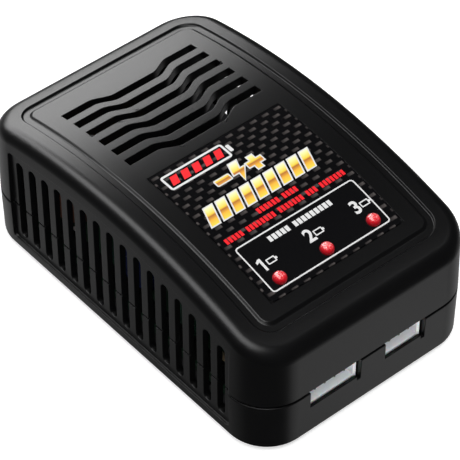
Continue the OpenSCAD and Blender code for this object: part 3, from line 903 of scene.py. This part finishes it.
red_epoxy = lamp_epoxy()
for k in (1, 2, 3):
    piece(make_lamp(f"lamp_{k}", f"led_{k}"), red_epoxy, f"led_{k}")

white_ink = print_ink("ink_white", (0.7, 0.7, 0.7))
red_ink = print_ink("ink_red", (0.84, 0.012, 0.02))
black_ink = print_ink("ink_black", (0.003, 0.003, 0.0035), 0.25)
gold_a = gold_ink("ink_gold_upper", -8.6, -3.7)
gold_b = gold_ink("ink_gold_lower", -14.2, -9.3)

# battery outline with red cells, top left
battery = rounded_frame(-15, -2.4, 0.3, 1.8, 0.7, 0.5)
battery.append(rounded(0.55, -1.3, 1.4, 0.7, 0.25))
cells = [slanted(-14.0 + 2.75 * i, -1.45, 0.85, 1.7, 0.8) for i in range(5)]

# bolt between a minus and a plus
signs = [bolt(-1.5, -6.15, 4.9), plus(2.5, -6.15, 1.8, 1.2)]
signs.append(rounded(-7.2, -6.75, -3.9, -5.55, 0.05, 1))

# row of charge bars
bars = [slanted(-14.8 + 3.02 * i, -13.9, -9.6, 1.9, 1.5) for i in range(10)]
bars = [b for b in bars if b[2][0] < 15.2]

# ruled box with a heading, and a number and a small battery for each lamp
box = (-15, -32, 14.85, -20.4, 0.8)
panel = [rounded(*box)]
ruled = rounded_frame(*box, 0.3)
heading = blocks(-8, 8, -23.0, -21.7, (5, 9))
numbers = []
for k in (-1, 0, 1):
    x, y = k * LAMP_PITCH, -26.1
    numbers += figure_one(x - 0.9, y) if k == -1 else digit(str(k + 2), x - 0.9, y, 2.9)
    numbers += rounded_frame(x + 0.2, -26.8, x + 2.3, -25.5, 0.2, 0.26)
    numbers.append(rounded(x + 2.3, -26.4, x + 2.65, -25.9, 0.1, 2))

# heights above the film: edges and the dark box, then plain inks, then inks over an edge or the box
LOW, MIDDLE, HIGH = 0.012, 0.02, 0.024
EDGE = 0.3
print_layers = (
    ("print_box", panel, LOW, black_ink),
    ("print_battery", battery, MIDDLE, white_ink),
    ("print_cells", cells, MIDDLE, red_ink),
    ("print_sign_edges", [outset(p, EDGE) for p in signs], LOW, white_ink),
    ("print_signs", signs, HIGH, gold_a),
    ("print_bar_edges", [outset(p, EDGE) for p in bars], LOW, white_ink),
    ("print_bars", bars, HIGH, gold_b),
    ("print_line_short", blocks(-5.4, 4.8, -16.7, -15.4, (6, 4)), MIDDLE, red_ink),
    ("print_line_long", blocks(-15.2, 15, -18.9, -17.6, (5, 8, 7, 3, 7)), MIDDLE, red_ink),
    ("print_rule", ruled, HIGH, white_ink),
    ("print_heading", heading, HIGH, white_ink),
    ("print_numbers", numbers, HIGH, white_ink),
)
for name, polygons, above, ink in print_layers:
    piece(on_label(name, polygons, above), ink)

# underneath: rows of plain bars and a square within a square
under = rounded_frame(-17.6, -14.6, 17.6, 14.6, 1.0, 0.25)
for row in range(6):
    under += blocks(-15.5, 7.5 - 1.5 * (row % 3), 9.5 - 3.4 * row, 10.7 - 3.4 * row, (7, 5, 9))
under += rounded_frame(10.5, -2.2, 14.9, 2.2, 0.1, 0.3)
under += rounded_frame(11.6, -1.1, 13.8, 1.1, 0.1, 0.3)
under_print = to_object("print_under", *join_meshes([prism(p, "z", 0.012, 0.028) for p in under]))
shade(under_print)
piece(under_print, print_ink("ink_grey", (0.03, 0.03, 0.032)))

carried = {
    "rating_label": moulded("rating_film", (0.42, 0.43, 0.44), 0.4, 0.2, 0.003, 0.05),
    "rubber_feet": moulded("foot_rubber", (0.03, 0.03, 0.03), 0.75, 0.25, 0.02, 0.25, 0.3),
    # Painted shade: the pressed board is near black here, not its own tan, for the shade inside the
    # case.
    "insulating_sheet": moulded("pressed_board_painted_shade", (0.045, 0.045, 0.048), 0.8, 0.4, 0.02, 0.1, 0.2),
    # Green solder mask, darkened as painted shade for the inside of the case.
    "main_board": moulded("solder_mask_painted_shade", (0.008, 0.03, 0.015), 0.35, 0.4, 0.006, 0.25),
    "ac_inlet_body": moulded("inlet_plastic", (0.015, 0.015, 0.016), 0.4, 0.3, 0.008),
    "led_spacers": moulded("spacer_plastic", (0.02, 0.02, 0.02), 0.5),
    "fuse": moulded("fuse_plastic", (0.1, 0.035, 0.02), 0.35),
    # Painted shade: the capacitor box is near black for the shade inside the case.
    "x_capacitor": moulded("box_plastic_painted_shade", (0.03, 0.03, 0.033), 0.5),
    "y_capacitor": moulded("disc_lacquer", (0.03, 0.12, 0.4), 0.25, 0.8, 0.03),
    "bridge_rectifier": moulded("chip_epoxy", (0.015, 0.015, 0.016), 0.55, 0.2, 0.01),
    "bulk_capacitor": moulded("blue_sleeve", (0.012, 0.018, 0.07), 0.25, 1.2, 0.01),
    "output_capacitors": moulded("green_sleeve", (0.006, 0.03, 0.018), 0.25, 1.2, 0.01),
    "transformer_winding": moulded("polyester_tape", (0.7, 0.48, 0.03), 0.3, 1.0, 0.01, 0.1),
    "optocoupler": moulded("pale_epoxy", (0.7, 0.69, 0.64), 0.5),
    "balance_resistors": moulded("resistor_lacquer", (0.45, 0.33, 0.18), 0.3, 0.5, 0.02),
    "choke_core": moulded("sintered_ferrite", (0.05, 0.05, 0.055), 0.6, 0.25, 0.02),
    "choke_windings": metal("enamelled_copper", (0.72, 0.3, 0.12), 0.3, (1, 1, 6), 0.6),
    # Aluminium darkened as painted shade so that it glints less inside the case; heatsink_secondary
    # shares it.
    "heatsink_primary": metal("rolled_aluminium_painted_shade", (0.3, 0.31, 0.32), 0.65, (1, 1, 10), 0.4),
    "case_screws": metal("dark_steel", (0.12, 0.12, 0.125), 0.35, (6, 1, 1), 0.4),
    "board_screws": metal("zinc_steel", (0.6, 0.6, 0.62), 0.3, (6, 1, 1), 0.4),
    "ac_inlet_pins": metal("plated_brass", (0.72, 0.68, 0.58), 0.22, (1, 8, 1), 0.4),
}
same_as = {
    "transformer_core": "choke_core",
    "transformer_bobbin": "bridge_rectifier",
    "power_switch": "bridge_rectifier",
    "rectifier_diode": "bridge_rectifier",
    "control_chip": "bridge_rectifier",
    "microcontroller": "bridge_rectifier",
    "output_choke": "choke_windings",
    "heatsink_secondary": "heatsink_primary",
    "led_leads": "ac_inlet_pins",
    "socket_3s_pins": "ac_inlet_pins",
    "socket_2s_pins": "ac_inlet_pins",
}
for node, source in same_as.items():
    carried[node] = carried[source]
for node, material in carried.items():
    dress(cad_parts[node], material)


# ---------- camera, light, floor ----------

def make_camera():
    """Long lens from the front left, 45 degrees above the table."""
    turn, rise, roll = math.radians(-39.988), math.radians(44.978), math.radians(-0.293)
    flat = math.cos(rise)
    back = Vector((math.sin(turn) * flat, -math.cos(turn) * flat, math.sin(rise)))
    right = Vector((0, 0, 1)).cross(back).normalized()
    up = back.cross(right)
    rolled_right = math.cos(roll) * right + math.sin(roll) * up
    rolled_up = -math.sin(roll) * right + math.cos(roll) * up
    data = bpy.data.cameras.new("camera")
    data.sensor_width = 36
    data.lens = 206.8
    data.shift_x, data.shift_y = 0.0109, 0.0015
    data.clip_start, data.clip_end = 0.01, 20
    camera = bpy.data.objects.new("camera", data)
    bpy.context.scene.collection.objects.link(camera)
    aim_z, distance = 11.18, 529.22
    place = Vector((0, 0, (aim_z + LIFT) * MM)) + back * distance * MM
    camera.matrix_world = Matrix.Translation(place) @ Matrix(
        (rolled_right, rolled_up, back)).transposed().to_4x4()
    bpy.context.scene.camera = camera


def make_world():
    """Dim, even studio surround."""
    world = bpy.data.worlds.new("studio")
    bpy.context.scene.world = world
    world.use_nodes = True
    background = world.node_tree.nodes["Background"]
    background.inputs["Color"].default_value = (1, 1, 1, 1)
    background.inputs["Strength"].default_value = 0.05


def soft_light(name, place, aim, size, level):
    """Area light of a given brightness, size and place in metres."""
    data = bpy.data.lights.new(name, "AREA")
    data.shape = "RECTANGLE"
    data.size, data.size_y = size
    data.energy = level * math.pi * size[0] * size[1]
    light = bpy.data.objects.new(name, data)
    light.location = place
    light.rotation_euler = (Vector(aim) - Vector(place)).to_track_quat("-Z", "Y").to_euler()
    bpy.context.scene.collection.objects.link(light)
    return light


def make_lights():
    """Panels that light every surface but never mirror in it, then panels seen only as sheen."""
    for name, place, size, level in (
            ("overhead", (0, 0, 1.2), (1.8, 1.8), 1.7),
            ("fill_front", (-0.5, -0.9, 0.5), (0.9, 0.7), 2.6),
            ("fill_left", (-0.9, 0.4, 0.5), (0.9, 0.7), 1.2),
            ("fill_right", (0.9, -0.2, 0.5), (0.9, 0.7), 1.2),
            ("fill_rear", (0.2, 0.9, 0.5), (0.9, 0.7), 1.2)):
        light = soft_light(name, place, (0, 0, 0), size, level)
        light.visible_glossy = False
    for name, place, aim, size, level in (
            ("sheen_rear", (0.05, 0.3, 0.16), (0, 0, 0.02), (0.28, 0.15), 8.5),
            ("sheen_left", (-0.22, 0.22, 0.5), (0, 0.22, 0.02), (1.15, 0.3), 7.6),
            ("sheen_top", (0.36, -0.17, 0.7), (0, 0, 0.02), (0.08, 0.5), 2.2),
            ("sheen_side", (-0.18, 0.17, -0.2), (0, 0, 0.02), (0.3, 0.3), 0.14),
            ("sheen_back", (-0.02, 0.34, -0.2), (0, 0, 0.02), (0.4, 0.3), 0.4),
            ("sheen_right", (0.34, 0, -0.2), (0, 0, 0.02), (0.4, 0.3), 0.4),
            ("sheen_front", (0.14, -0.24, -0.2), (0, 0, 0.02), (0.2, 0.2), 0.8)):
        light = soft_light(name, place, aim, size, level)
        light.visible_diffuse = False


def make_floor():
    half, low = 1.5, -0.00005
    mesh = bpy.data.meshes.new("floor")
    corners = [(-half, -half, low), (half, -half, low), (half, half, low), (-half, half, low)]
    mesh.from_pydata(corners, [], [(0, 1, 2, 3)])
    floor = bpy.data.objects.new("floor", mesh)
    bpy.context.scene.collection.objects.link(floor)
    dress(floor, studio_floor())
    floor.visible_glossy = False
    floor.visible_shadow = False


make_camera()
make_world()
make_lights()
make_floor()
bpy.context.scene.view_settings.view_transform = "Standard"
